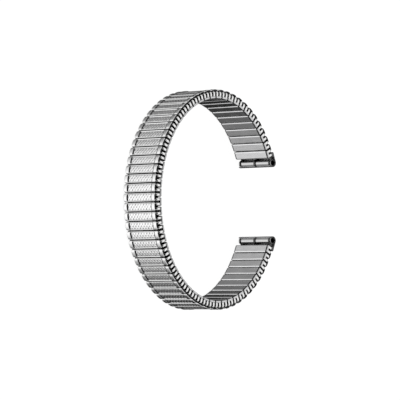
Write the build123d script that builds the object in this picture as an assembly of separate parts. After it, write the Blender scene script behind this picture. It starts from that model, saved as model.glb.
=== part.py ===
"""Expansion watch band, 12 mm wide, lying on its side as an open oval.

Two rows of flattened sleeves, offset by half a pitch, are laced together along both edges by
U-shaped staples. A leaf spring in every sleeve keeps the staple legs flat, so the band pulls
itself shut. Each end carries a curled cover, a bracket and two telescoping tubes for the spring bar.

Frame, in millimetres: +Z runs along the width, +X points from the oval's centre to the middle of
the gap for the watch case, and the origin is the oval's centre on the lower side edge.
Prototypes are drawn with X pointing out of the band, zero at its outer face, and Y along it.
"""
import os
from math import cos, degrees, hypot, pi, radians, sin

from build123d import *

# Oval that the outer face follows, and the links along it
OVAL_REACH_X = 24.2
OVAL_REACH_Y = 29.2
OVAL_WALK_STEPS = 400
BAND_WIDTH = 12.0
INNER_LINK_COUNT = 56
LINKS_PER_SEGMENT = 4
LINK_PITCH = 2.425
SHELL_LENGTH = 2.27
INNER_LINK_LENGTH = 2.17

# Sheet and cavities
SLEEVE_WALL = 0.10
CAVITY_HEIGHT = 0.77
ROW_GAP = 0.12
SHELL_CAP = 0.56
SHELL_CAP_SETBACK = 0.48
SLEEVE_END_SETBACK = 0.36

# Decorated top shell
RIM_WIDTH = 1.85
PANEL_RECESS = 0.20
PANEL_LAND = 0.10
SHELL_EDGE_ALONG = 0.24
SHELL_EDGE_DOWN = 0.26

# Staples and leaf springs
STAPLE_WIDTH = 0.58
STAPLE_THICKNESS = 0.16
STAPLE_BACK = 0.25
STAPLE_LEG = 2.60
STAPLE_CLEARANCE = 0.05
SPRING_SIDE_GAP = 0.24
SPRING_THICKNESS = 0.10
SPRING_END_GAP = 0.45
SPRING_LEG_GAP = 0.06
SPRING_WALL_GAP = 0.02

# End covers, brackets and telescoping tubes
COVER_SHEET = 0.25
TUBE_BORE_RADIUS = 0.70
TUBE_WALL = 0.15
TUBE_LENGTH = 5.50
TUBE_RUNNING_GAP = 0.05
TUBE_AXIS_REACH = 1.60
CURL_END_ANGLE = -60.0
END_SLEEVE_REACH = 0.20
BRACKET_WALL = 0.20
BRACKET_BAR = 0.25
BRACKET_BAR_REACH = 0.60
BRACKET_GAP = 0.05
BRACKET_HOOK_REACH = 0.35
BRACKET_SHOULDER = 0.60
EAR_THICKNESS = 0.30
EAR_SETBACK = 0.60
STOP_THICKNESS = 0.50
STOP_GAP = 0.05

CUT_OVERRUN = 1.0

# Distances along the middle of the band's thickness
HALF_PITCH = LINK_PITCH / 2
QUARTER_PITCH = LINK_PITCH / 4
SEGMENT_COUNT = INNER_LINK_COUNT // LINKS_PER_SEGMENT

# Heights of the flat faces, from the outer face inwards
CAP_TOP = 0.0
OUTER_CAVITY_TOP = CAP_TOP - SHELL_CAP
OUTER_CAVITY_FLOOR = OUTER_CAVITY_TOP - CAVITY_HEIGHT
OUTER_ROW_FLOOR = OUTER_CAVITY_FLOOR - SLEEVE_WALL
INNER_ROW_TOP = OUTER_ROW_FLOOR - ROW_GAP
INNER_CAVITY_TOP = INNER_ROW_TOP - SLEEVE_WALL
INNER_CAVITY_FLOOR = INNER_CAVITY_TOP - CAVITY_HEIGHT
INNER_ROW_FLOOR = INNER_CAVITY_FLOOR - SLEEVE_WALL
MIDDLE_DEPTH = (CAP_TOP - INNER_ROW_FLOOR) / 2

# Half lengths along the band
SHELL_HALF = SHELL_LENGTH / 2
INNER_HALF = INNER_LINK_LENGTH / 2

# Staple faces
STAPLE_TOP = OUTER_CAVITY_TOP - STAPLE_CLEARANCE
STAPLE_FOOT = INNER_CAVITY_FLOOR + STAPLE_CLEARANCE

# Tube and curl at each end
TUBE_OUTER_RADIUS = TUBE_BORE_RADIUS + TUBE_WALL
CURL_INNER_RADIUS = TUBE_OUTER_RADIUS + TUBE_RUNNING_GAP
CURL_OUTER_RADIUS = CURL_INNER_RADIUS + COVER_SHEET
TUBE_AXIS_HEIGHT = CAP_TOP - CURL_OUTER_RADIUS
COVER_UNDERSIDE = CAP_TOP - COVER_SHEET
END_WALL_FACE = SLEEVE_WALL - END_SLEEVE_REACH


def prism(points, low, high):
    """Straight prism over an outline in the XY plane, from one height to another."""
    face = make_face(Polyline(*points, close=True))
    return extrude(Pos(0, 0, low) * face, amount=high - low)


def block(x_low, x_high, y_low, y_high, z_low, z_high):
    """Box given by its limits on each axis."""
    outline = [(x_low, y_low), (x_high, y_low), (x_high, y_high), (x_low, y_high)]
    return prism(outline, z_low, z_high)


def rod(x, y, radius, z_low, z_high):
    """Round rod parallel to Z."""
    return extrude(Pos(x, y, z_low) * Circle(radius), amount=z_high - z_low)


def bend_radius(angle):
    """Radius of the bend halfway through the band, where its outer face looks towards an angle."""
    reach = hypot(OVAL_REACH_X * cos(angle), OVAL_REACH_Y * sin(angle))
    return (OVAL_REACH_X * OVAL_REACH_Y) ** 2 / reach ** 3 - MIDDLE_DEPTH


def placed(solid, distance):
    """Copy of a prototype moved along the oval by a distance from its far side, towards end B."""
    angle = pi
    step = distance / OVAL_WALK_STEPS
    for _ in range(OVAL_WALK_STEPS):
        halfway = angle + step / 2 / bend_radius(angle)
        angle += step / bend_radius(halfway)
    reach = hypot(OVAL_REACH_X * cos(angle), OVAL_REACH_Y * sin(angle))
    x, y = OVAL_REACH_X ** 2 * cos(angle) / reach, OVAL_REACH_Y ** 2 * sin(angle) / reach
    return Pos(x, y) * Rot(0, 0, degrees(angle)) * solid


def top_shell():
    """Outer link: roof with two raised rims round a sunk panel, over an open-ended sleeve."""
    shoulder = CAP_TOP - SHELL_EDGE_DOWN
    flat_half = SHELL_HALF - SHELL_EDGE_ALONG
    outline = [(OUTER_CAVITY_TOP, -SHELL_HALF), (shoulder, -SHELL_HALF), (CAP_TOP, -flat_half),
               (CAP_TOP, flat_half), (shoulder, SHELL_HALF), (OUTER_CAVITY_TOP, SHELL_HALF)]
    panel_half = flat_half - PANEL_LAND
    roof = prism(outline, SHELL_CAP_SETBACK, BAND_WIDTH - SHELL_CAP_SETBACK)
    roof -= block(CAP_TOP - PANEL_RECESS, CAP_TOP, -panel_half, panel_half, RIM_WIDTH, BAND_WIDTH - RIM_WIDTH)
    sleeve_low, sleeve_high = SLEEVE_END_SETBACK, BAND_WIDTH - SLEEVE_END_SETBACK
    sleeve = block(OUTER_ROW_FLOOR, OUTER_CAVITY_TOP, -SHELL_HALF, SHELL_HALF, sleeve_low, sleeve_high)
    cavity_half = SHELL_HALF - SLEEVE_WALL
    sleeve -= block(OUTER_CAVITY_FLOOR, OUTER_CAVITY_TOP, -cavity_half, cavity_half, 0, BAND_WIDTH)
    return roof + sleeve


def inner_sleeve():
    """Inner link: plain flattened sleeve, open at both ends."""
    low, high = SLEEVE_END_SETBACK, BAND_WIDTH - SLEEVE_END_SETBACK
    cavity_half = INNER_HALF - SLEEVE_WALL
    sleeve = block(INNER_ROW_FLOOR, INNER_ROW_TOP, -INNER_HALF, INNER_HALF, low, high)
    return sleeve - block(INNER_CAVITY_FLOOR, INNER_CAVITY_TOP, -cavity_half, cavity_half, 0, BAND_WIDTH)


def staple_pair():
    """Two U-shaped staples, one along each side edge, with their legs pointing inwards."""
    bar_low, bar_high = STAPLE_FOOT + STAPLE_THICKNESS, STAPLE_TOP - STAPLE_THICKNESS
    leg_end = STAPLE_BACK + STAPLE_LEG
    outline = [(STAPLE_FOOT, 0), (STAPLE_TOP, 0), (STAPLE_TOP, leg_end), (bar_high, leg_end),
               (bar_high, STAPLE_BACK), (bar_low, STAPLE_BACK), (bar_low, leg_end),
               (STAPLE_FOOT, leg_end)]
    face = make_face(Plane.XZ * Polyline(*outline, close=True))
    low_staple = extrude(face, amount=STAPLE_WIDTH / 2, both=True)
    high_staple = Pos(0, 0, BAND_WIDTH) * mirror(low_staple, about=Plane.XY)
    return [low_staple, high_staple]


def leaf_spring(middle, ends, half_width):
    """Bowed leaf across the band: its middle and its ends lie at the two given heights."""
    low = STAPLE_BACK + SPRING_END_GAP
    centre, high = BAND_WIDTH / 2, BAND_WIDTH - low
    outline = [(ends, low), (middle, centre), (ends, high), (ends + SPRING_THICKNESS, high),
               (middle + SPRING_THICKNESS, centre), (ends + SPRING_THICKNESS, low)]
    face = make_face(Plane.XZ * Polyline(*outline, close=True))
    return extrude(face, amount=half_width, both=True)


def outer_spring():
    """Leaf in an outer sleeve: bears on the floor and presses the legs outwards."""
    ends = STAPLE_TOP - STAPLE_THICKNESS - SPRING_LEG_GAP - SPRING_THICKNESS
    half_width = SHELL_HALF - SLEEVE_WALL - SPRING_SIDE_GAP
    return leaf_spring(OUTER_CAVITY_FLOOR + SPRING_WALL_GAP, ends, half_width)


def inner_spring():
    """Leaf in an inner sleeve: bears on its roof and presses the legs towards the wrist."""
    ends = STAPLE_FOOT + STAPLE_THICKNESS + SPRING_LEG_GAP
    half_width = INNER_HALF - SLEEVE_WALL - SPRING_SIDE_GAP
    return leaf_spring(INNER_CAVITY_TOP - SPRING_WALL_GAP - SPRING_THICKNESS, ends, half_width)


def end_cover():
    """Plain cover with a sleeve for the last staples and a curl round the tubes, towards +Y."""
    flat_half = SHELL_HALF - SHELL_EDGE_ALONG
    curl = Pos(TUBE_AXIS_HEIGHT, TUBE_AXIS_REACH)
    angle = radians(CURL_END_ANGLE)
    ring = Circle(CURL_OUTER_RADIUS) - Circle(CURL_INNER_RADIUS)
    far = CURL_OUTER_RADIUS + CUT_OVERRUN
    open_side = make_face(Polyline((far, -far), (far, 0), (0, 0), (far * sin(angle), far * cos(angle)),
                                   (-far, far * cos(angle)), (-far, -far), close=True))
    curl_face = curl * (ring - open_side)
    roof = make_face(Polyline((OUTER_CAVITY_TOP, -SHELL_HALF), (CAP_TOP - SHELL_EDGE_DOWN, -SHELL_HALF),
                              (CAP_TOP, -flat_half), (CAP_TOP, TUBE_AXIS_REACH),
                              (COVER_UNDERSIDE, TUBE_AXIS_REACH), (COVER_UNDERSIDE, END_WALL_FACE),
                              (OUTER_CAVITY_TOP, END_WALL_FACE), close=True))
    cover = extrude(roof + curl_face, amount=BAND_WIDTH)
    low, high = SLEEVE_END_SETBACK, BAND_WIDTH - SLEEVE_END_SETBACK
    sleeve = block(OUTER_ROW_FLOOR, OUTER_CAVITY_TOP, -SHELL_HALF, END_WALL_FACE, low, high)
    sleeve -= block(OUTER_CAVITY_FLOOR, OUTER_CAVITY_TOP, -SHELL_HALF + SLEEVE_WALL,
                    -END_SLEEVE_REACH, 0, BAND_WIDTH)
    return cover + sleeve


def bracket_ear(hole_radius, low, high):
    """Hooked ear of the end bracket: a shoulder under the cover and a hook below the tube."""
    hook_radius = CURL_INNER_RADIUS + BRACKET_WALL
    ear = rod(TUBE_AXIS_HEIGHT, TUBE_AXIS_REACH, hook_radius, low, high)
    ear -= block(TUBE_AXIS_HEIGHT, CAP_TOP, TUBE_AXIS_REACH - hook_radius - CUT_OVERRUN,
                 TUBE_AXIS_REACH + hook_radius + CUT_OVERRUN, low, high)
    ear += block(TUBE_AXIS_HEIGHT, COVER_UNDERSIDE, END_WALL_FACE + BRACKET_GAP,
                 TUBE_AXIS_REACH - BRACKET_SHOULDER, low, high)
    ear -= rod(TUBE_AXIS_HEIGHT, TUBE_AXIS_REACH, hole_radius, low, high)
    ear -= block(INNER_ROW_FLOOR, CAP_TOP, TUBE_AXIS_REACH + BRACKET_HOOK_REACH,
                 TUBE_AXIS_REACH + CURL_OUTER_RADIUS, low, high)
    return ear


def end_bracket():
    """Bar under the cover with an ear at each side and a stop between the two tubes."""
    centre = BAND_WIDTH / 2
    bar = block(COVER_UNDERSIDE - BRACKET_BAR, COVER_UNDERSIDE, END_WALL_FACE + BRACKET_GAP,
                BRACKET_BAR_REACH, EAR_SETBACK, BAND_WIDTH - EAR_SETBACK)
    low_ear = bracket_ear(CURL_INNER_RADIUS, EAR_SETBACK, EAR_SETBACK + EAR_THICKNESS)
    high_ear = Pos(0, 0, BAND_WIDTH) * mirror(low_ear, about=Plane.XY)
    stop = bracket_ear(TUBE_BORE_RADIUS, centre - STOP_THICKNESS / 2, centre + STOP_THICKNESS / 2)
    return bar + low_ear + high_ear + stop


def end_tube(low):
    """Telescoping tube for one half of the spring bar, from the given height upwards."""
    tube = rod(TUBE_AXIS_HEIGHT, TUBE_AXIS_REACH, TUBE_OUTER_RADIUS, low, low + TUBE_LENGTH)
    return tube - rod(TUBE_AXIS_HEIGHT, TUBE_AXIS_REACH, TUBE_BORE_RADIUS, low, low + TUBE_LENGTH)


def save(solids, node):
    """Write one node, as a group of separate solids where it has several."""
    export_step(solids[0] if len(solids) == 1 else Compound(children=solids), f"parts/{node}.step")


def inner_place(index):
    """Distance of an inner link, counted from zero at end A, from the middle of the band."""
    return (index - (INNER_LINK_COUNT - 1) / 2) * LINK_PITCH


def segments():
    """Every segment: inner links, shells, springs and the staples seated in them."""
    shell, sleeve, pair = top_shell(), inner_sleeve(), staple_pair()
    spring_out, spring_in = outer_spring(), inner_spring()
    stretch_number = 0
    for segment in range(SEGMENT_COUNT):
        first = segment * LINKS_PER_SEGMENT
        inner = [inner_place(first + step) for step in range(LINKS_PER_SEGMENT)]
        last_segment = segment == SEGMENT_COUNT - 1
        outer = [place + HALF_PITCH for place in (inner[:-1] if last_segment else inner)]
        seats = [place + QUARTER_PITCH for place in inner[:len(outer)]]
        seats += [place - QUARTER_PITCH for place in inner[1:]]
        boundary = inner[-1] + HALF_PITCH + QUARTER_PITCH
        stretches = segment % 2 == 0
        if not stretches and not last_segment:
            seats.append(boundary)
        number = f"{segment + 1:02d}"
        save([placed(shell, place) for place in outer], f"top_shells_{number}")
        links = [placed(sleeve, place) for place in inner]
        links += [placed(staple, place) for place in seats for staple in pair]
        save(links, f"inner_links_{number}")
        springs = [placed(spring_out, place) for place in outer]
        springs += [placed(spring_in, place) for place in inner]
        save(springs, f"leaf_springs_{number}")
        if stretches and not last_segment:
            stretch_number += 1
            save([placed(staple, boundary) for staple in pair], f"stretch_staples_{stretch_number:02d}")


def ends():
    """Both end fittings: the first beside link one, the second its mirror image."""
    cover, bracket, pair = end_cover(), end_bracket(), staple_pair()
    side_margin = (BAND_WIDTH - STOP_THICKNESS) / 2 - STOP_GAP - TUBE_LENGTH
    tubes = [end_tube(side_margin), end_tube(BAND_WIDTH - side_margin - TUBE_LENGTH)]
    last = inner_place(INNER_LINK_COUNT - 1)
    for name, place, facing in (("a", inner_place(0) - HALF_PITCH, -1), ("b", last + HALF_PITCH, 1)):
        turned = [cover, bracket] + tubes
        if facing < 0:
            turned = [mirror(solid, about=Plane.XZ) for solid in turned]
        turned = [placed(solid, place) for solid in turned]
        labels = ("cover", "bracket", "lower_tube", "upper_tube")
        for label, solid in zip(labels, turned):
            save([solid], f"end_{name}_{label}")
        seat = place - facing * QUARTER_PITCH
        save([placed(staple, seat) for staple in pair], f"end_{name}_staples")


os.makedirs("parts", exist_ok=True)
segments()
ends()
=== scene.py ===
"""Looks of the expansion watch band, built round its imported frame.

Shapes are worked out in millimetres with X pointing out of the band, zero at its outer face, Y
along it and Z across it. They are moved to their places round the oval and put into metres.
"""

import bpy
import numpy as np
from mathutils import Matrix


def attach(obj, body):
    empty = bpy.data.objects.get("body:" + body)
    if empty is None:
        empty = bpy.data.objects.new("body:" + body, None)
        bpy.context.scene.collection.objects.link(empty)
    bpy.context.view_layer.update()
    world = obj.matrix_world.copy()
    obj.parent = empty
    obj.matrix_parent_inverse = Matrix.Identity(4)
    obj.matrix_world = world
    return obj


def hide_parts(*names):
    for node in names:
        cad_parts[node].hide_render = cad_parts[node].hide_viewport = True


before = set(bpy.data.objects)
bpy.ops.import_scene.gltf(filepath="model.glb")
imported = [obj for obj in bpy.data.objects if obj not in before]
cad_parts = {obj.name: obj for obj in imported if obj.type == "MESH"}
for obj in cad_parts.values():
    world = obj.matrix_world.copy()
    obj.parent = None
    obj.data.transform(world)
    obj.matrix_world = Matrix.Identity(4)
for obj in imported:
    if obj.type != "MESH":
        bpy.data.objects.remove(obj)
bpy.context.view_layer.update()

# Millimetres to metres
MM = 0.001

# Strength of the painted shade on hidden edges and insides, where 0 leaves the steel's own colour and 1
# paints it fully dark as shade. Below, a pair whose name ends in SHADE, START or END, or the sleeves' pair
# for the floor, holds the two values between which painted shade sets in or fades
PAINTED_SHADE = 0.90

# Oval and links: the same values as the solids have
OVAL_X = 24.2
OVAL_Y = 29.2
BAND_WIDTH = 12.0
INNER_LINKS = 56
LINKS_A_SEGMENT = 4
PITCH = 2.425
CAP_TOP = 0.0
CAP_FLOOR = -0.56
OUTER_FLOOR = -1.43
INNER_TOP = -1.55
INNER_FLOOR = -2.52
SHELL_HALF = 1.135
INNER_HALF = 1.085
SHEET = 0.10
SLEEVE_SET_BACK = 0.36
STAPLE_TOP = -0.61
STAPLE_FOOT = -2.37
STAPLE_SHEET = 0.16

# Sleeves: their corners, thinner side walls and lips, the band at each end painted dark as shade, and the
# distances from the low and high walls between which an inner sleeve's painted shade sets in. SLEEVE_STEP
# holds the distances below the high wall between which the set-back changes
OUTER_CORNER = 0.16
INNER_CORNER = 0.26
INNER_TOP_SET_BACK = 0.38
SIDE_SHEET = 0.07
SLEEVE_LIP = 0.03
SLEEVE_SHADED_BAND = 0.12
SLEEVE_STEP = (0.12, 0.01)
SLEEVE_FLOOR_SHADE = (0.15, 0.20)
TUCKED_IN = 0.02

# Staples: strip, bends, legs, the depths into the band over which the legs take painted shade, and the
# height at which the back is fullest
STAPLE_WIDTH = 0.62
STAPLE_BACK = 0.20
STAPLE_BEND = 0.30
STAPLE_CHAMFER = 0.04
STAPLE_LEG = 2.42
LEG_SHADE = (0.26, 0.50)
BELLY_TOP = -1.20
BELLY = 0.14

# Tabs folded over the ends of the inner links, the gap between them and the staples, and the painted shade
# round their rims and, more lightly, all over them
TAB_TOP = -1.92
TAB_LOW = -2.44
TAB_SHEET = 0.06
TAB_HALF = 1.02
TAB_CORNER = 0.16
TAB_SHRINK = 0.60
TAB_SWEEP = 0.12
TAB_GAP = 0.05
TAB_END_SHADE = (0.82, 0.98)
TAB_LOW_SHADE = (0.72, 1.00)
TAB_TOP_SHADE = (-0.16, 0.00)
TAB_TOP_SHADE_STRENGTH = 0.60
TAB_SHADE_LEAST = 0.20

# Cap of a top link: long edges, crown, corners, rims with their lips, sunk middle and dashes, then the
# painted shade on the dashes, under the lips, down the long edges and in the grooves
EDGE_ALONG = 0.15
EDGE_DOWN = 0.20
CAP_CROWN = 0.12
CAP_SET_BACK = 0.28
CAP_CORNER = 0.60
RIM = 1.86
LIP_ROLL = 0.26
LIP_DROP = 0.24
LIP_UNDER = 0.30
LIP_SET_BACK = 0.30
RECESS = 0.26
RECESS_SLOPE = 0.50
RIM_CROWN = 0.14
END_SLOPE = 0.14
PANEL_HALF = 0.80
DASH_COLUMN = 1.00
DASH_ROW = 0.53
DASH_LENGTH = 0.24
DASH_WIDTH = 0.14
DASH_HEIGHT = 0.10
END_RISE = 0.18
# Painted shade on the dashes, differing from dash to dash, then painted shade under the lips, down the long
# edges and in the grooves at the ends of the middle
DASH_SHADE_MEAN = 0.62
DASH_SHADE_SPREAD = 0.28
DASH_SHADE_ROW_TURN = 7.3
DASH_SHADE_COLUMN_TURN = 4.1
LIP_SHADE = (0.07, 0.13)
EDGE_SHADE = (0.24, 0.34)
EDGE_SHADE_STRENGTH = 0.80
GROOVE_START = (1.41, 1.56)
GROOVE_END = (1.84, 1.96)
GROOVE_SHADE_LEAST = 0.40

# Tubes and covers at the two ends
TUBE_X = -1.15
TUBE_Y = 1.60
TUBE_OUTER = 0.85
TUBE_BORE = 0.70
TUBE_LENGTH = 5.50
TUBE_LIP = 0.05
TUBE_MARGIN = 0.20
TUBE_STEPS = 48
COVER_SHEET = 0.25
COVER_EDGE = 0.06
COVER_TIP = 0.05
COVER_FRONT = -0.10
CURL_OUTER = 1.15
CURL_INNER = 0.90
CURL_TURN = 150.0
END_SLEEVE_EDGE = 0.03

# Camera: fitted to the picture, in millimetres
CAMERA_PLACE = (-580.83, -28.60, 551.16)
CAMERA_RIGHT = (0.68489, 0.00270, 0.72864)
CAMERA_UP = (-0.02798, 0.99935, 0.02259)
CAMERA_FORWARD = (0.72811, 0.03586, -0.68452)
LENS = 270.0
SENSOR = 36.0


# Shapes

def grid_faces(rows, columns, closed_rows=False, closed_columns=False):
    """Four-cornered faces of a grid numbered row by row: each joins a point to the next in its
    row and to both of theirs in the next row."""
    i = np.arange(rows if closed_rows else rows - 1)[:, None]
    j = np.arange(columns if closed_columns else columns - 1)[None, :]
    i_next, j_next = (i + 1) % rows, (j + 1) % columns
    corners = [i * columns + j, i * columns + j_next, i_next * columns + j_next, i_next * columns + j]
    return np.stack(corners, axis=-1).reshape(-1, 4).tolist()


def outward(points, faces):
    """The faces, all turned round if the volume that they enclose comes out negative. The volume
    is a sixth of the sum, over fans of triangles, of first . (second x third)."""
    volume = 0.0
    for size in {len(face) for face in faces}:
        group = points[np.array([face for face in faces if len(face) == size])]
        for k in range(1, size - 1):
            volume += np.einsum("ij,ij->", group[:, 0], np.cross(group[:, k], group[:, k + 1]))
    return faces if volume > 0 else [face[::-1] for face in faces]


def joined(*shapes):
    """Several shapes as one: points one after the other, faces counted on."""
    points, faces, marks, start = [], [], [], 0
    for shape_points, shape_faces, shape_marks in shapes:
        points.append(shape_points)
        marks.append(shape_marks)
        faces += [[index + start for index in face] for face in shape_faces]
        start += len(shape_points)
    return np.concatenate(points), faces, np.concatenate(marks)


def lofted(sections, marks, capped=True):
    """Closed surface through closed sections, an array of (section, point, xyz), with a mark for
    each point. The two end sections are filled with one face each, or joined to each other where
    the loft is a ring."""
    rows, columns = sections.shape[:2]
    points = sections.reshape(-1, 3)
    faces = grid_faces(rows, columns, closed_rows=not capped, closed_columns=True)
    if capped:
        faces.append(list(range(columns))[::-1])
        faces.append(list(range((rows - 1) * columns, rows * columns)))
    return points, outward(points, faces), marks.reshape(-1)


def oval_place(distance, steps=20000):
    """Place on the oval, and the angle a that the outer face looks in there, at a distance along
    the middle of the band's thickness from its far side. That line bends with the radius
    X^2 Y^2 / ((X cos a)^2 + (Y sin a)^2)^(3/2) less half the thickness, summed up over a."""
    angle = np.linspace(0, 2 * np.pi, steps + 1)
    reach = np.hypot(OVAL_X * np.cos(angle), OVAL_Y * np.sin(angle))
    bend = (OVAL_X * OVAL_Y) ** 2 / reach ** 3 + INNER_FLOOR / 2
    walked = np.concatenate([[0], np.cumsum((bend[1:] + bend[:-1]) * np.pi / steps)])
    a = np.interp(walked[steps // 2] + distance, walked, angle)
    reach = np.hypot(OVAL_X * np.cos(a), OVAL_Y * np.sin(a))
    return OVAL_X ** 2 * np.cos(a) / reach, OVAL_Y ** 2 * np.sin(a) / reach, a


def moved(points, distance):
    """Points turned about Z by the oval's angle and moved: x cos a - y sin a, x sin a + y cos a."""
    place_x, place_y, a = oval_place(distance)
    x, y, z = points[:, 0], points[:, 1], points[:, 2]
    return np.stack([place_x + x * np.cos(a) - y * np.sin(a),
                     place_y + x * np.sin(a) + y * np.cos(a), z], axis=1)


def placed(shape, distances):
    """One shape repeated at several distances along the band."""
    points, faces, marks = shape
    return joined(*[(moved(points, distance), faces, marks) for distance in distances])


def upside_down(shape):
    """The shape mirrored to the other side edge of the band, with its faces turned round."""
    points, faces, marks = shape
    return points * [1, 1, -1] + [0, 0, BAND_WIDTH], [face[::-1] for face in faces], marks


def other_end(shape):
    """The shape mirrored along the band, with its faces turned round."""
    points, faces, marks = shape
    return points * [1, -1, 1], [face[::-1] for face in faces], marks


def rounded_loop(x_low, x_high, y_half, radius, steps=4, support=0.10):
    """Rounded rectangle in the XY plane: four quarter circles, with one more point on each flat
    beside them that keeps the flat's shading flat."""
    quarter = np.linspace(0, np.pi / 2, steps)
    x_arc = radius * np.cos(quarter) - radius
    y_arc = radius * np.sin(quarter) - radius
    x_arc = np.concatenate([[0.0], x_arc, [-radius - support]])
    y_arc = np.concatenate([[-radius - support], y_arc, [0.0]])
    x = np.concatenate([x_high + x_arc, (x_low - x_arc)[::-1], x_low - x_arc, (x_high + x_arc)[::-1]])
    y = np.concatenate([y_half + y_arc, (y_half + y_arc)[::-1], -y_half - y_arc, (-y_half - y_arc)[::-1]])
    return np.stack([x, y], axis=1)


def smooth_step(value, low, high):
    """0 below low, 1 above high and 3t^2 - 2t^3 between."""
    t = np.clip((value - low) / (high - low), 0, 1)
    return t * t * (3 - 2 * t)


def dashes(y, z):
    """Relief of the stamped dashes, 0 to 1: a bump exp(-(a/length)^4 - (b/width)^2) repeats on a
    grid, each row half a column on from the last, where a and b run along and across the slant.
    Then the painted shade on them, which differs from dash to dash with the sine of row and column."""
    row = np.floor((y + PANEL_HALF) / DASH_ROW)
    y_in = y + PANEL_HALF - (row + 0.5) * DASH_ROW
    z_in = (z - row % 2 * DASH_COLUMN / 2) % DASH_COLUMN - DASH_COLUMN / 2
    column = np.floor((z - row % 2 * DASH_COLUMN / 2) / DASH_COLUMN)
    along, across = (z_in - y_in) / np.sqrt(2), (z_in + y_in) / np.sqrt(2)
    bump = np.exp(-(along / DASH_LENGTH) ** 4 - (across / DASH_WIDTH) ** 2)
    turn = DASH_SHADE_ROW_TURN * row + DASH_SHADE_COLUMN_TURN * column * (row + 2)
    return bump, bump * (DASH_SHADE_MEAN + DASH_SHADE_SPREAD * np.sin(turn))


def top_cap():
    """Cap of a top link. A closed outline over the width has a rolled lip with an undercut at
    each side, a bead and a smooth slope down to the sunk middle, and is carried along the band.
    Its corners are quarter circles. Its height shrinks with the square of the distance from the
    middle, on the rims with the fourth power too, and at the two long edges as 1 - cos does. The
    dashes stand on the middle. It is painted dark as shade under the lips, down the long edges, in
    the groove at each end of the middle and on the dashes, more on some dashes than on others."""
    roll = np.linspace(0, np.pi / 2, 7)
    flat = SHELL_HALF - EDGE_ALONG
    side_y, side_drop = flat + EDGE_ALONG * np.sin(roll), EDGE_DOWN * (1 - np.cos(roll))
    middle = np.linspace(-flat, flat, 23)[1:-1]
    y = np.concatenate([-side_y[::-1], middle, side_y])
    drop = np.concatenate([side_drop[::-1], np.zeros(len(middle)), side_drop])
    drop += CAP_CROWN * (y / SHELL_HALF) ** 2

    edge = BAND_WIDTH - CAP_SET_BACK
    lip_z = edge - LIP_ROLL * (1 - np.sin(roll))
    lip_h = -LIP_DROP * (1 - np.cos(roll))
    rim_z = np.linspace(BAND_WIDTH - RIM, edge - LIP_ROLL, 15)[:-1]
    panel_z = np.linspace(RIM, BAND_WIDTH - RIM, 105)[1:-1]
    # Profile under the lip: how far in from the edge, and how high
    under = np.array([[0.02, -LIP_DROP - 0.03], [0.10, -LIP_UNDER], [LIP_SET_BACK - 0.04, -LIP_UNDER],
                      [LIP_SET_BACK, -LIP_UNDER - 0.04], [LIP_SET_BACK, CAP_FLOOR - CAP_TOP]])
    half_z = np.concatenate([rim_z, lip_z, edge - under[:, 0]])
    half_h = np.concatenate([np.zeros(len(rim_z)), lip_h, under[:, 1]])
    top = np.concatenate([np.ones(len(rim_z) + 1), np.zeros(len(half_z) - len(rim_z) - 1)])
    z = np.concatenate([BAND_WIDTH - half_z[::-1], panel_z, half_z])
    height = np.concatenate([half_h[::-1], np.zeros(len(panel_z)), half_h])
    top = np.concatenate([top[::-1], np.ones(len(panel_z)), top])

    y, z = np.broadcast_arrays(y[:, None], z[None, :])
    from_middle = np.abs(z - BAND_WIDTH / 2)
    into_corner = np.clip(from_middle - (BAND_WIDTH / 2 - CAP_SET_BACK - CAP_CORNER), 0, CAP_CORNER)
    y = y * (1 - (CAP_CORNER - np.sqrt(CAP_CORNER ** 2 - into_corner ** 2)) / SHELL_HALF)
    depth = CAP_TOP - CAP_FLOOR
    x = CAP_FLOOR + (height + depth) * (1 - drop[:, None] / depth)
    from_side = BAND_WIDTH / 2 - from_middle
    inside_z = smooth_step(from_side, RIM - RECESS_SLOPE, RIM)
    inside_y = smooth_step(-np.abs(y), -PANEL_HALF - END_SLOPE, -PANEL_HALF)
    stamp, dash_shade = dashes(y, z)
    x = x - top * inside_z * (RECESS - (1 - inside_y) * END_RISE - inside_y * stamp * DASH_HEIGHT)
    x = x - top * (1 - inside_z) * RIM_CROWN * (y / SHELL_HALF) ** 4

    # Painted shade: under the lips, down the long edges, in the grooves and on the dashes
    shade_paint = np.maximum(smooth_step(-height, *LIP_SHADE), smooth_step(drop[:, None], *EDGE_SHADE) * EDGE_SHADE_STRENGTH)
    groove = smooth_step(from_side, *GROOVE_START) * (1 - smooth_step(from_side, *GROOVE_END))
    groove = groove * (GROOVE_SHADE_LEAST + (1 - GROOVE_SHADE_LEAST) * inside_y)
    shaded_dashes = dash_shade * inside_y * inside_z
    shade_paint = np.maximum(shade_paint, np.maximum(groove, shaded_dashes) * top)
    return lofted(np.stack([x, y, z], axis=-1), marks=-shade_paint)


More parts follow.
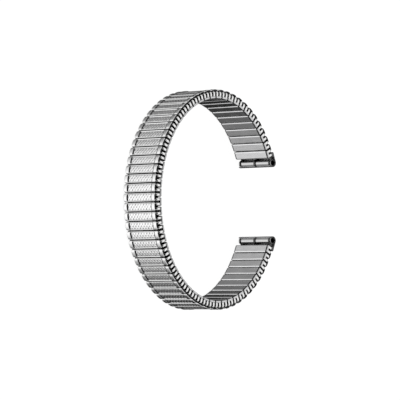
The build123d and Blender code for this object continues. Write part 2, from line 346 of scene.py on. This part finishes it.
def sleeve(x_low, x_high, y_half, radius, low_back, high_back, floor_unshaded):
    """Flattened sleeve: rounded rectangles outside and inside, joined at both ends. The end is
    cut back by one amount at the sleeve's low wall and by another at its high wall. It is painted
    dark as shade all over, or, when its floor stays unshaded, everywhere but on its low wall."""
    outer = rounded_loop(x_low, x_high, y_half, radius)
    inner = rounded_loop(x_low + SHEET, x_high - SHEET, y_half - SIDE_SHEET, radius - SHEET)
    blend = smooth_step(outer[:, 0], x_high - SLEEVE_STEP[0], x_high - SLEEVE_STEP[1])
    back = low_back + (high_back - low_back) * blend
    outside = smooth_step(outer[:, 0], x_low + SLEEVE_FLOOR_SHADE[0], x_high - SLEEVE_FLOOR_SHADE[1]) if floor_unshaded else 1
    shaded_band_end = SLEEVE_LIP + SLEEVE_SHADED_BAND
    # Painted shade: a band at each end is fully dark, and the outer skin between is dark but for the low
    # wall when the floor stays unshaded
    sections, marks = [], []
    for loop, inset, shade_paint in ((outer, shaded_band_end, outside), (outer, SLEEVE_LIP + SLEEVE_SHADED_BAND * 0.8, 1),
                              (outer, SLEEVE_LIP, 1), (outer * 0.7 + inner * 0.3, 0.0, 1),
                              (outer * 0.3 + inner * 0.7, 0.0, 1), (inner, SLEEVE_LIP, 1),
                              (inner, shaded_band_end, 1)):
        sections.append(np.column_stack([loop, back + inset]))
        marks.append(-shade_paint * np.ones(len(outer)))
    far = [section * [1, 1, -1] + [0, 0, BAND_WIDTH] for section in sections[::-1]]
    return lofted(np.stack(sections + far), marks=np.stack(marks + marks[::-1]), capped=False)


def end_tab():
    """Tab folded up from an inner link's floor across its two staples, beside the low side edge.
    Its section bends into the band with the square of the depth t, and shrinks at both ends of
    the tab as a quarter circle does. It is painted dark as shade round its rim and more lightly all over."""
    t = np.linspace(0, 1, 7)
    front = np.stack([TAB_TOP + (TAB_LOW - TAB_TOP) * t, TAB_SWEEP * t ** 2], axis=1)
    loop = np.concatenate([front, (front + [0, TAB_SHEET])[::-1]])
    turn = np.linspace(0, np.pi / 2, 5)
    y = TAB_HALF - TAB_CORNER * (1 - np.sin(turn))
    shrink = 1 - TAB_SHRINK * (1 - np.cos(turn))
    y, shrink = np.concatenate([-y[::-1], y]), np.concatenate([shrink[::-1], shrink])
    middle = (TAB_TOP + TAB_LOW) / 2
    x = middle + (loop[None, :, 0] - middle) * shrink[:, None]
    depth = np.concatenate([t, t[::-1]])
    # Painted shade round the rim and, more lightly, all over the tab
    rim = np.maximum(smooth_step(depth, *TAB_LOW_SHADE), TAB_TOP_SHADE_STRENGTH * smooth_step(-depth, *TAB_TOP_SHADE))
    ends = smooth_step(np.abs(y)[:, None], *TAB_END_SHADE)
    marks = -np.maximum(ends, np.maximum(rim, TAB_SHADE_LEAST)[None, :])
    y, z = np.broadcast_arrays(y[:, None], loop[None, :, 1])
    return lofted(np.stack([x, y, z], axis=-1), marks=marks)


def staple():
    """U-shaped staple of flat strip along the low side edge. Its outer and inner outlines have
    quarter-round bends about the same centres, and between them lies an eight-sided section. The
    back is fullest at one height and falls back with the square of the distance from there."""
    top_bend, foot_bend = STAPLE_TOP - STAPLE_BEND, STAPLE_FOOT + STAPLE_BEND
    turn = np.linspace(0, np.pi / 2, 4)
    outer_x = np.concatenate([[STAPLE_TOP], top_bend + STAPLE_BEND * np.cos(turn)])
    outer_z = np.concatenate([[STAPLE_LEG], STAPLE_BEND - STAPLE_BEND * np.sin(turn)])
    inner_x = np.concatenate([[STAPLE_TOP - STAPLE_SHEET],
                              top_bend + (STAPLE_BEND - STAPLE_SHEET) * np.cos(turn)])
    inner_z = np.concatenate([[STAPLE_LEG], STAPLE_BEND - (STAPLE_BEND - STAPLE_BACK) * np.sin(turn)])
    middle = STAPLE_TOP + STAPLE_FOOT
    flat_x = np.linspace(top_bend, foot_bend, 6)[1:-1]
    outer = np.stack([np.concatenate([outer_x, flat_x, middle - outer_x[::-1]]),
                      np.concatenate([outer_z, 0 * flat_x, outer_z[::-1]])], axis=1)
    inner = np.stack([np.concatenate([inner_x, flat_x, middle - inner_x[::-1]]),
                      np.concatenate([inner_z, STAPLE_BACK + 0 * flat_x, inner_z[::-1]])], axis=1)
    for line in (outer, inner):
        line[:, 1] += BELLY * (np.clip(line[:, 0], foot_bend, top_bend) - BELLY_TOP) ** 2
    half = STAPLE_WIDTH / 2
    flat_half, share = half - STAPLE_CHAMFER, STAPLE_CHAMFER / STAPLE_SHEET
    sides = [(0, flat_half), (share, half), (1 - share, half), (1, flat_half),
             (1, -flat_half), (1 - share, -half), (share, -half), (0, -flat_half)]
    share_in = np.array([side[0] for side in sides])[None, :, None]
    y = np.broadcast_to(np.array([side[1] for side in sides]), (len(outer), len(sides)))
    flat = outer[:, None] * (1 - share_in) + inner[:, None] * share_in
    x, z = flat[..., 0], flat[..., 1]
    # The legs are painted dark as shade where they reach into the sleeves
    return lofted(np.stack([x, y, z], axis=-1), marks=-PAINTED_SHADE * smooth_step(z, *LEG_SHADE))


def staple_pair():
    """A staple along each side edge, just clear of the tabs."""
    points, faces, marks = staple()
    low = points + [0, 0, TAB_GAP], faces, marks
    return joined(low, upside_down(low))


def tube(low):
    """Drawn tube: a ring section with rounded lips, turned in equal steps round its axis."""
    lip, rolled = TUBE_LIP, TUBE_LIP * 0.3
    radius = np.array([TUBE_OUTER] * 4 + [TUBE_OUTER - rolled, TUBE_OUTER - lip, TUBE_BORE + 2 * rolled] +
                      [TUBE_BORE] * 4 + [TUBE_BORE + 2 * rolled, TUBE_OUTER - lip, TUBE_OUTER - rolled])
    height = np.array([TUBE_LENGTH - lip, TUBE_LENGTH - 3 * lip, 3 * lip, lip, rolled, 0, 0,
                       lip, 3 * lip, TUBE_LENGTH - 3 * lip, TUBE_LENGTH - lip, TUBE_LENGTH,
                       TUBE_LENGTH, TUBE_LENGTH - rolled])
    angle = np.linspace(0, 2 * np.pi, TUBE_STEPS, endpoint=False)[:, None]
    x = TUBE_X + radius * np.cos(angle)
    y = TUBE_Y + radius * np.sin(angle)
    z = np.broadcast_to(low + height, x.shape)
    # The bore is painted dark as shade
    marks = np.broadcast_to(-PAINTED_SHADE * (radius < TUBE_OUTER - lip * 0.5), x.shape)
    return lofted(np.stack([x, y, z], axis=-1), marks=marks, capped=False)


def strip_section(outline, z_low, z_high, edge):
    """An outline in the XY plane carried over the width, drawn in a little at both ends by moving
    each point along the mean of its two sides' normals. It is painted dark as shade there."""
    rolled, sharpest = edge * 0.3, 0.3
    before, after = outline - np.roll(outline, 1, axis=0), np.roll(outline, -1, axis=0) - outline
    normal = np.stack([before[:, 1], -before[:, 0]], axis=1) / np.linalg.norm(before, axis=1)[:, None]
    normal += np.stack([after[:, 1], -after[:, 0]], axis=1) / np.linalg.norm(after, axis=1)[:, None]
    normal /= np.maximum(np.linalg.norm(normal, axis=1)[:, None], sharpest)
    area = np.sum(outline[:, 0] * np.roll(outline[:, 1], -1) - outline[:, 1] * np.roll(outline[:, 0], -1))
    inner = outline - normal * edge * np.sign(area)
    between = outline - normal * rolled * np.sign(area)
    levels = ((inner, z_low), (between, z_low + rolled), (outline, z_low + edge),
              (outline, z_low + 2 * edge), (outline, z_high - 2 * edge), (outline, z_high - edge),
              (between, z_high - rolled), (inner, z_high))
    marks = np.repeat([[-PAINTED_SHADE if loop is not outline else 0.0] for loop, _ in levels], len(outline), axis=1)
    sections = [np.column_stack([loop, np.full(len(loop), level)]) for loop, level in levels]
    return lofted(np.stack(sections), marks=marks)


def end_cover():
    """Plain cover with a rolled edge, curled round the tubes: a sheet of even thickness follows
    a straight run and then an arc about the tubes' axis, and thickens over the last staples."""
    roll = np.linspace(0, np.pi / 2, 6)
    edge_x = CAP_TOP - EDGE_DOWN * (1 - np.sin(roll))
    edge_y = -SHELL_HALF + EDGE_ALONG * (1 - np.cos(roll))
    arc = np.radians(np.linspace(0, CURL_TURN, 26))
    outer = np.stack([TUBE_X + CURL_OUTER * np.cos(arc), TUBE_Y + CURL_OUTER * np.sin(arc)], axis=1)
    inner = np.stack([TUBE_X + CURL_INNER * np.cos(arc), TUBE_Y + CURL_INNER * np.sin(arc)], axis=1)[::-1]
    tip = (outer[-1] + inner[0]) / 2
    tangent = np.array([-np.sin(arc[-1]), np.cos(arc[-1])])
    outline = np.concatenate([
        [[CAP_FLOOR, -SHELL_HALF]], np.stack([edge_x, edge_y], axis=1), outer[:-1],
        [outer[-1] - tangent * COVER_TIP, tip, inner[0] - tangent * COVER_TIP], inner[1:],
        [[CAP_TOP - COVER_SHEET, COVER_FRONT], [CAP_FLOOR, COVER_FRONT]]])
    return strip_section(outline, 0.0, BAND_WIDTH, COVER_EDGE)


def end_sleeve():
    """Half sleeve under the cover that takes the last staples: floor, back wall and front wall."""
    low, high, rear, front = OUTER_FLOOR, CAP_FLOOR + TUCKED_IN, -SHELL_HALF, COVER_FRONT
    bevel, chamfer = 0.08, 0.02
    outline = np.array([[high, rear], [low + bevel, rear], [low + chamfer, rear + chamfer],
                        [low, rear + bevel], [low, front - bevel], [low + chamfer, front - chamfer],
                        [low + bevel, front], [high, front], [high, front - SHEET],
                        [low + SHEET, front - SHEET], [low + SHEET, rear + SHEET], [high, rear + SHEET]])
    return strip_section(outline, SLEEVE_SET_BACK, BAND_WIDTH - SLEEVE_SET_BACK, END_SLEEVE_EDGE)


# Materials

# Nearly black colour that the painted shade mixes in
PAINTED_SHADE_COLOUR = (0.035, 0.035, 0.036, 1.0)
GRAIN_STRETCH = (1.0, 1.0, 0.035)
SCRATCH_STRETCH = (1.0, 1.0, 0.012)
EVEN_STRETCH = (1.0, 1.0, 1.0)
PATCH_SCALE = 420.0
BUMP_DEPTH = 0.00001

# Each finish: dark and light colour, roughness from and to, scales of the grain, the scratches
# and the specks, and strength of the relief
FINISHES = {
    "shell_steel": ((0.70, 0.70, 0.70), (0.87, 0.87, 0.87), (0.12, 0.20), 9000.0, 16000.0, 24000.0, 0.35),
    "link_steel": ((0.66, 0.66, 0.67), (0.86, 0.86, 0.86), (0.16, 0.25), 7000.0, 14000.0, None, 0.6),
    "staple_steel": ((0.74, 0.74, 0.74), (0.92, 0.92, 0.91), (0.14, 0.24), 9000.0, 15000.0, None, 0.3),
    # The springs and brackets lie inside the band and its ends, so their steel is painted darker as shade,
    # the brackets nearly black
    "spring_steel": ((0.36, 0.36, 0.37), (0.52, 0.52, 0.52), (0.30, 0.42), 8000.0, 12000.0, None, 0.6),
    "cover_steel": ((0.50, 0.50, 0.51), (0.66, 0.66, 0.66), (0.20, 0.30), 8000.0, 14000.0, None, 0.6),
    "bracket_steel": ((0.08, 0.08, 0.08), (0.15, 0.15, 0.15), (0.28, 0.40), 8000.0, 12000.0, None, 0.6),
    "tube_steel": ((0.50, 0.50, 0.50), (0.62, 0.62, 0.62), (0.12, 0.20), 9000.0, 16000.0, None, 0.3),
}


def steel(name, dark, light, rough, grain, scratch, speck, relief):
    """Steel with drawn grain along the band's width. Base colour, roughness and relief come from
    stretched noise, fine scratches and slow patches, all on Object coordinates. The painted-shade
    attribute darkens the colour from 0, as it is, to -1, painted fully dark as shade."""
    material = bpy.data.materials.new(name)
    material.use_nodes = True
    nodes, links = material.node_tree.nodes, material.node_tree.links
    shader = nodes["Principled BSDF"]
    shader.inputs["Metallic"].default_value = 1.0
    place = nodes.new("ShaderNodeTexCoord")

    def noise(scale, stretch, detail):
        """Noise on Object coordinates with its own scale along each axis."""
        mapping, texture = nodes.new("ShaderNodeMapping"), nodes.new("ShaderNodeTexNoise")
        mapping.inputs["Scale"].default_value = stretch
        texture.inputs["Scale"].default_value = scale
        texture.inputs["Detail"].default_value = detail
        links.new(place.outputs["Object"], mapping.inputs["Vector"])
        links.new(mapping.outputs["Vector"], texture.inputs["Vector"])
        return texture.outputs["Fac"]

    def ramp(value, low, high, start=0.3, end=0.7):
        """Value rescaled from start..end to low..high."""
        node = nodes.new("ShaderNodeMapRange")
        node.inputs["From Min"].default_value, node.inputs["From Max"].default_value = start, end
        node.inputs["To Min"].default_value, node.inputs["To Max"].default_value = low, high
        links.new(value, node.inputs["Value"])
        return node.outputs["Result"]

    def added(first, second):
        """Sum of two values."""
        node = nodes.new("ShaderNodeMath")
        node.operation = "ADD"
        links.new(first, node.inputs[0])
        links.new(second, node.inputs[1])
        return node.outputs["Value"]

    streaks = noise(grain, GRAIN_STRETCH, 3.0)
    patches = noise(PATCH_SCALE, EVEN_STRETCH, 2.0)
    lines = noise(scratch, SCRATCH_STRETCH, 1.0)
    tone = added(ramp(streaks, 0.0, 0.7), ramp(patches, 0.0, 0.3))
    colours = nodes.new("ShaderNodeValToRGB")
    colours.color_ramp.elements[0].color = (*dark, 1.0)
    colours.color_ramp.elements[1].color = (*light, 1.0)
    links.new(tone, colours.inputs["Fac"])
    # The painted-shade attribute mixes the steel towards the dark shade colour
    mark, shade_paint = nodes.new("ShaderNodeAttribute"), nodes.new("ShaderNodeMix")
    mark.attribute_name = "painted_shade"
    shade_paint.data_type = "RGBA"
    inputs = {socket.identifier: socket for socket in shade_paint.inputs}
    results = {socket.identifier: socket for socket in shade_paint.outputs}
    inputs["B_Color"].default_value = PAINTED_SHADE_COLOUR
    links.new(ramp(mark.outputs["Fac"], 1.0, 0.0, -1.0, 0.0), inputs["Factor_Float"])
    links.new(colours.outputs["Color"], inputs["A_Color"])
    links.new(results["Result_Color"], shader.inputs["Base Color"])

    roughness = added(ramp(streaks, *rough), ramp(patches, -0.04, 0.05))
    links.new(roughness, shader.inputs["Roughness"])

    height = added(streaks, ramp(lines, 0.0, 0.8, 0.35, 0.5))
    if speck is not None:
        height = added(height, ramp(noise(speck, EVEN_STRETCH, 2.0), 0.0, 0.8))
    bumps = nodes.new("ShaderNodeBump")
    bumps.inputs["Strength"].default_value = relief
    bumps.inputs["Distance"].default_value = BUMP_DEPTH
    links.new(height, bumps.inputs["Height"])
    links.new(bumps.outputs["Normal"], shader.inputs["Normal"])
    return material


steels = {name: steel(name, *finish) for name, finish in FINISHES.items()}


# Pieces

SHARP_ANGLE = 50.0


def make_piece(name, shape, body, slot, node):
    """A mesh object in metres, in the steel of its slot, that rides on a body and stands for the
    solids of the named node."""
    points, faces, marks = shape
    mesh = bpy.data.meshes.new(name)
    mesh.from_pydata((points * MM).tolist(), [], faces)
    mesh.polygons.foreach_set("use_smooth", np.ones(len(mesh.polygons), dtype=bool))
    # The marks are painted shade, from 0 for none to -1 for full
    mesh.attributes.new("painted_shade", "FLOAT", "POINT").data.foreach_set("value", marks.astype(np.float32))
    mesh.set_sharp_from_angle(angle=np.radians(SHARP_ANGLE))
    mesh.materials.append(steels[slot])
    piece = bpy.data.objects.new(name, mesh)
    bpy.context.scene.collection.objects.link(piece)
    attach(piece, body)
    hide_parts(node)


def link_place(index):
    """Distance of an inner link from the far side, along the band towards end B."""
    return (index - (INNER_LINKS - 1) / 2) * PITCH


cap = joined(top_cap(), sleeve(OUTER_FLOOR, CAP_FLOOR + TUCKED_IN, SHELL_HALF, OUTER_CORNER,
                               SLEEVE_SET_BACK, SLEEVE_SET_BACK, False))
tab = end_tab()
inner = joined(sleeve(INNER_FLOOR, INNER_TOP, INNER_HALF, INNER_CORNER,
                      SLEEVE_SET_BACK, INNER_TOP_SET_BACK, True), tab, upside_down(tab))
pair = staple_pair()
segment_count = INNER_LINKS // LINKS_A_SEGMENT
for segment in range(segment_count):
    number = f"{segment + 1:02d}"
    body = f"segment_{number}"
    last = segment == segment_count - 1
    links = [link_place(segment * LINKS_A_SEGMENT + step) for step in range(LINKS_A_SEGMENT)]
    tops = [place + PITCH / 2 for place in (links[:-1] if last else links)]
    seats = [place + PITCH / 4 for place in links[:len(tops)]] + [place - PITCH / 4 for place in links[1:]]
    boundary = links[-1] + PITCH * 3 / 4
    if segment % 2 == 1 and not last:
        seats.append(boundary)
    for name, shape, places, slot, node in (
            ("top_links", cap, tops, "shell_steel", "top_shells"),
            ("inner_sleeves", inner, links, "link_steel", "inner_links"),
            ("seated_staples", pair, seats, "staple_steel", "inner_links")):
        make_piece(f"{name}_{number}", placed(shape, places), body, slot, f"{node}_{number}")
    if segment % 2 == 0 and not last:
        count = f"{segment // 2 + 1:02d}"
        make_piece(f"moving_staples_{count}", placed(pair, [boundary]), f"staple_pair_{count}",
                   "staple_steel", f"stretch_staples_{count}")

cover = joined(end_cover(), end_sleeve())
low_tube, high_tube = tube(TUBE_MARGIN), tube(BAND_WIDTH - TUBE_MARGIN - TUBE_LENGTH)
for end, facing in (("a", -1), ("b", 1)):
    seat = facing * INNER_LINKS * PITCH / 2
    for name, shape, body, slot, node in (
            ("curled_cover", cover, "", "cover_steel", "cover"),
            ("lower_tube", low_tube, "_lower_tube", "tube_steel", "lower_tube"),
            ("upper_tube", high_tube, "_upper_tube", "tube_steel", "upper_tube")):
        turned = other_end(shape) if facing < 0 else shape
        make_piece(f"{name}_{end}", placed(turned, [seat]), f"end_{end}{body}", slot, f"end_{end}_{node}")
    make_piece(f"last_staples_{end}", placed(pair, [seat - facing * PITCH / 4]), f"end_{end}",
               "staple_steel", f"end_{end}_staples")

# Parts kept from the solids are painted dark as shade: the leaf springs grey, the rest nearly black
for node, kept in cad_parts.items():
    finish = steels["spring_steel" if node.startswith("leaf_springs") else "bracket_steel"]
    if not kept.data.materials:
        kept.data.materials.append(finish)
    for material_slot in kept.material_slots:
        material_slot.material = finish


# Stage, light and camera

# World and floor
WORLD_FILL = 0.7
FLOOR_REACH = 3.0
FLOOR_GLOW = 1.10
FLOOR_GLOW_SHARE = 0.86
FLOOR_COLOUR = (0.9, 0.9, 0.9, 1.0)

# Studio dome. DOME_LEVELS is its brightness far below the horizon, by azimuth in degrees. A pair
# ending in RISE holds two sines of the height above the horizon, and ROOM_EDGE two cosines of the
# angle to the camera, between which one brightness passes smoothly into the next
DOME_RADIUS = 2.0
DOME_LEVELS = (
    (-180, 1.32), (-166, 1.32), (-149, 1.15), (-133, 0.66), (-112, 0.32), (-90, 0.16), (-66, 0.045),
    (-45, 0.015), (-20, 0.01), (20, 0.01), (40, 0.015), (60, 0.10), (75, 0.24), (90, 0.28),
    (110, 0.37), (126, 0.52), (144, 0.90), (161, 1.08), (180, 1.32))
GREY_RISE = (-0.50, -0.34)
HORIZON_GREY = 0.50
LIFT_RISE = (-0.60, 0.0)
HORIZON_LIFT = 1.35
WHITE_RISE = (0.25, 0.55)
ROOM_EDGE = (0.66, 0.81)
ROOM_LEVEL = 0.015

# Lamp, in metres, with its turn about Y in radians
LAMP_PLACE = (0.50, 0.10, 0.60)
LAMP_TURN = 0.70
LAMP_SIZE = 0.5
LAMP_ENERGY = 1.5


def stage_material(name):
    """Empty node material: its nodes, its links and its output."""
    material = bpy.data.materials.new(name)
    material.use_nodes = True
    material.node_tree.nodes.clear()
    nodes = material.node_tree.nodes
    return material, nodes, material.node_tree.links, nodes.new("ShaderNodeOutputMaterial")


def seen_ray(nodes, links):
    """1 for camera, glossy and transmission rays."""
    path = nodes.new("ShaderNodeLightPath")
    first, second = nodes.new("ShaderNodeMath"), nodes.new("ShaderNodeMath")
    first.operation = second.operation = "MAXIMUM"
    links.new(path.outputs["Is Camera Ray"], first.inputs[0])
    links.new(path.outputs["Is Glossy Ray"], first.inputs[1])
    links.new(first.outputs["Value"], second.inputs[0])
    links.new(path.outputs["Is Transmission Ray"], second.inputs[1])
    return second.outputs["Value"]


world = bpy.data.worlds.new("studio_world")
bpy.context.scene.world = world
world.use_nodes = True
nodes, links = world.node_tree.nodes, world.node_tree.links
background = nodes["Background"]
background.inputs["Color"].default_value = (1.0, 1.0, 1.0, 1.0)
strength = nodes.new("ShaderNodeMapRange")
strength.inputs["To Min"].default_value = WORLD_FILL
strength.inputs["To Max"].default_value = 1.0
links.new(seen_ray(nodes, links), strength.inputs["Value"])
links.new(strength.outputs["Result"], background.inputs["Strength"])

floor_mesh = bpy.data.meshes.new("floor")
floor_corners = [(x * FLOOR_REACH, y * FLOOR_REACH, 0) for x, y in ((-1, -1), (1, -1), (1, 1), (-1, 1))]
floor_mesh.from_pydata(floor_corners, [], [(0, 1, 2, 3)])
floor = bpy.data.objects.new("floor", floor_mesh)
bpy.context.scene.collection.objects.link(floor)
material, nodes, links, output = stage_material("pale_floor")
glow, matte = nodes.new("ShaderNodeEmission"), nodes.new("ShaderNodeBsdfDiffuse")
mix = nodes.new("ShaderNodeMixShader")
glow.inputs["Strength"].default_value = FLOOR_GLOW
matte.inputs["Color"].default_value = FLOOR_COLOUR
share = nodes.new("ShaderNodeMapRange")
share.inputs["To Max"].default_value = FLOOR_GLOW_SHARE
links.new(seen_ray(nodes, links), share.inputs["Value"])
links.new(share.outputs["Result"], mix.inputs["Fac"])
links.new(matte.outputs["BSDF"], mix.inputs[1])
links.new(glow.outputs["Emission"], mix.inputs[2])
links.new(mix.outputs["Shader"], output.inputs["Surface"])
floor_mesh.materials.append(material)
floor.visible_glossy = False


def turn_share(nodes, links, turn):
    """Turn in radians, from minus a half turn to plus a half turn, as 0 to 1."""
    node = nodes.new("ShaderNodeMapRange")
    node.inputs["From Min"].default_value, node.inputs["From Max"].default_value = -np.pi, np.pi
    links.new(turn, node.inputs["Value"])
    return node.outputs["Result"]


def studio_dome(rows=25, columns=49):
    """Soft studio walls as a sphere about the band, at azimuth a and height h: r cos h cos a,
    r cos h sin a, r sin h. Far below, its brightness follows the azimuth alone; nearer the
    horizon it is at least a steady grey, and above, white but for the dark room round the camera."""
    azimuth = np.linspace(-np.pi, np.pi, columns)[None, :]
    height = np.linspace(-np.pi / 2, np.pi / 2, rows)[:, None]
    x, y = np.cos(height) * np.cos(azimuth), np.cos(height) * np.sin(azimuth)
    points = DOME_RADIUS * np.stack([x, y, np.sin(height) + 0 * azimuth], axis=-1).reshape(-1, 3)
    mesh = bpy.data.meshes.new("studio_dome")
    mesh.from_pydata(points.tolist(), [], grid_faces(rows, columns))
    dome = bpy.data.objects.new("studio_dome", mesh)
    bpy.context.scene.collection.objects.link(dome)
    material, nodes, links, output = stage_material("studio_dome")

    def math_node(operation, first, second):
        """Two values or sockets joined by a math node."""
        node = nodes.new("ShaderNodeMath")
        node.operation = operation
        for socket, value in zip(node.inputs, (first, second)):
            if isinstance(value, float):
                socket.default_value = value
            else:
                links.new(value, socket)
        return node.outputs["Value"]

    def ranged(value, rise, low, high):
        """Smooth passage from low to high as the value goes through the rise."""
        node = nodes.new("ShaderNodeMapRange")
        node.interpolation_type = "SMOOTHSTEP"
        for name, number in zip(("From Min", "From Max", "To Min", "To Max"), (*rise, low, high)):
            node.inputs[name].default_value = number
        links.new(value, node.inputs["Value"])
        return node.outputs["Result"]

    place, unit = nodes.new("ShaderNodeTexCoord"), nodes.new("ShaderNodeVectorMath")
    split, facing = nodes.new("ShaderNodeSeparateXYZ"), nodes.new("ShaderNodeVectorMath")
    unit.operation, facing.operation = "NORMALIZE", "DOT_PRODUCT"
    links.new(place.outputs["Object"], unit.inputs[0])
    links.new(unit.outputs["Vector"], split.inputs["Vector"])
    links.new(unit.outputs["Vector"], facing.inputs[0])
    facing.inputs[1].default_value = [-value for value in CAMERA_FORWARD]

    ramp = nodes.new("ShaderNodeValToRGB")
    elements = ramp.color_ramp.elements
    while len(elements) < len(DOME_LEVELS):
        elements.new(0.5)
    for element, (degrees, level) in zip(elements, DOME_LEVELS):
        element.position = (degrees + 180.0) / 360.0
        element.color = (level, level, level, 1.0)
    turn = math_node("ARCTAN2", split.outputs["Y"], split.outputs["X"])
    links.new(turn_share(nodes, links, turn), ramp.inputs["Fac"])
    even = ranged(split.outputs["Z"], GREY_RISE, 0.0, HORIZON_GREY)
    low = math_node("MAXIMUM", ramp.outputs["Color"], even)
    low = math_node("MULTIPLY", low, ranged(split.outputs["Z"], LIFT_RISE, 1.0, HORIZON_LIFT))
    up = ranged(split.outputs["Z"], WHITE_RISE, 0.0, 1.0)
    rest = math_node("SUBTRACT", 1.0, up)
    level = math_node("ADD", math_node("MULTIPLY", low, rest), up)
    level = math_node("MULTIPLY", level, ranged(facing.outputs["Value"], ROOM_EDGE, 1.0, ROOM_LEVEL))
    glow = nodes.new("ShaderNodeEmission")
    links.new(level, glow.inputs["Strength"])
    links.new(glow.outputs["Emission"], output.inputs["Surface"])
    mesh.materials.append(material)
    dome.visible_camera = dome.visible_diffuse = dome.visible_shadow = False


studio_dome()

lamp_data = bpy.data.lights.new("soft_key", "AREA")
lamp_data.shape = "DISK"
lamp_data.size = LAMP_SIZE
lamp_data.energy = LAMP_ENERGY
lamp = bpy.data.objects.new("soft_key", lamp_data)
bpy.context.scene.collection.objects.link(lamp)
lamp.visible_glossy = False
lamp.matrix_world = Matrix.Translation(LAMP_PLACE) @ Matrix.Rotation(LAMP_TURN, 4, "Y")

camera_data = bpy.data.cameras.new("camera")
camera_data.lens = LENS
camera_data.sensor_width = SENSOR
camera_data.clip_start = 0.01
camera = bpy.data.objects.new("camera", camera_data)
bpy.context.scene.collection.objects.link(camera)
camera_rows = [[right, up, -forward, place * MM] for right, up, forward, place
               in zip(CAMERA_RIGHT, CAMERA_UP, CAMERA_FORWARD, CAMERA_PLACE)]
camera.matrix_world = Matrix([*camera_rows, [0, 0, 0, 1]])
bpy.context.scene.camera = camera
bpy.context.scene.view_settings.view_transform = "Standard"
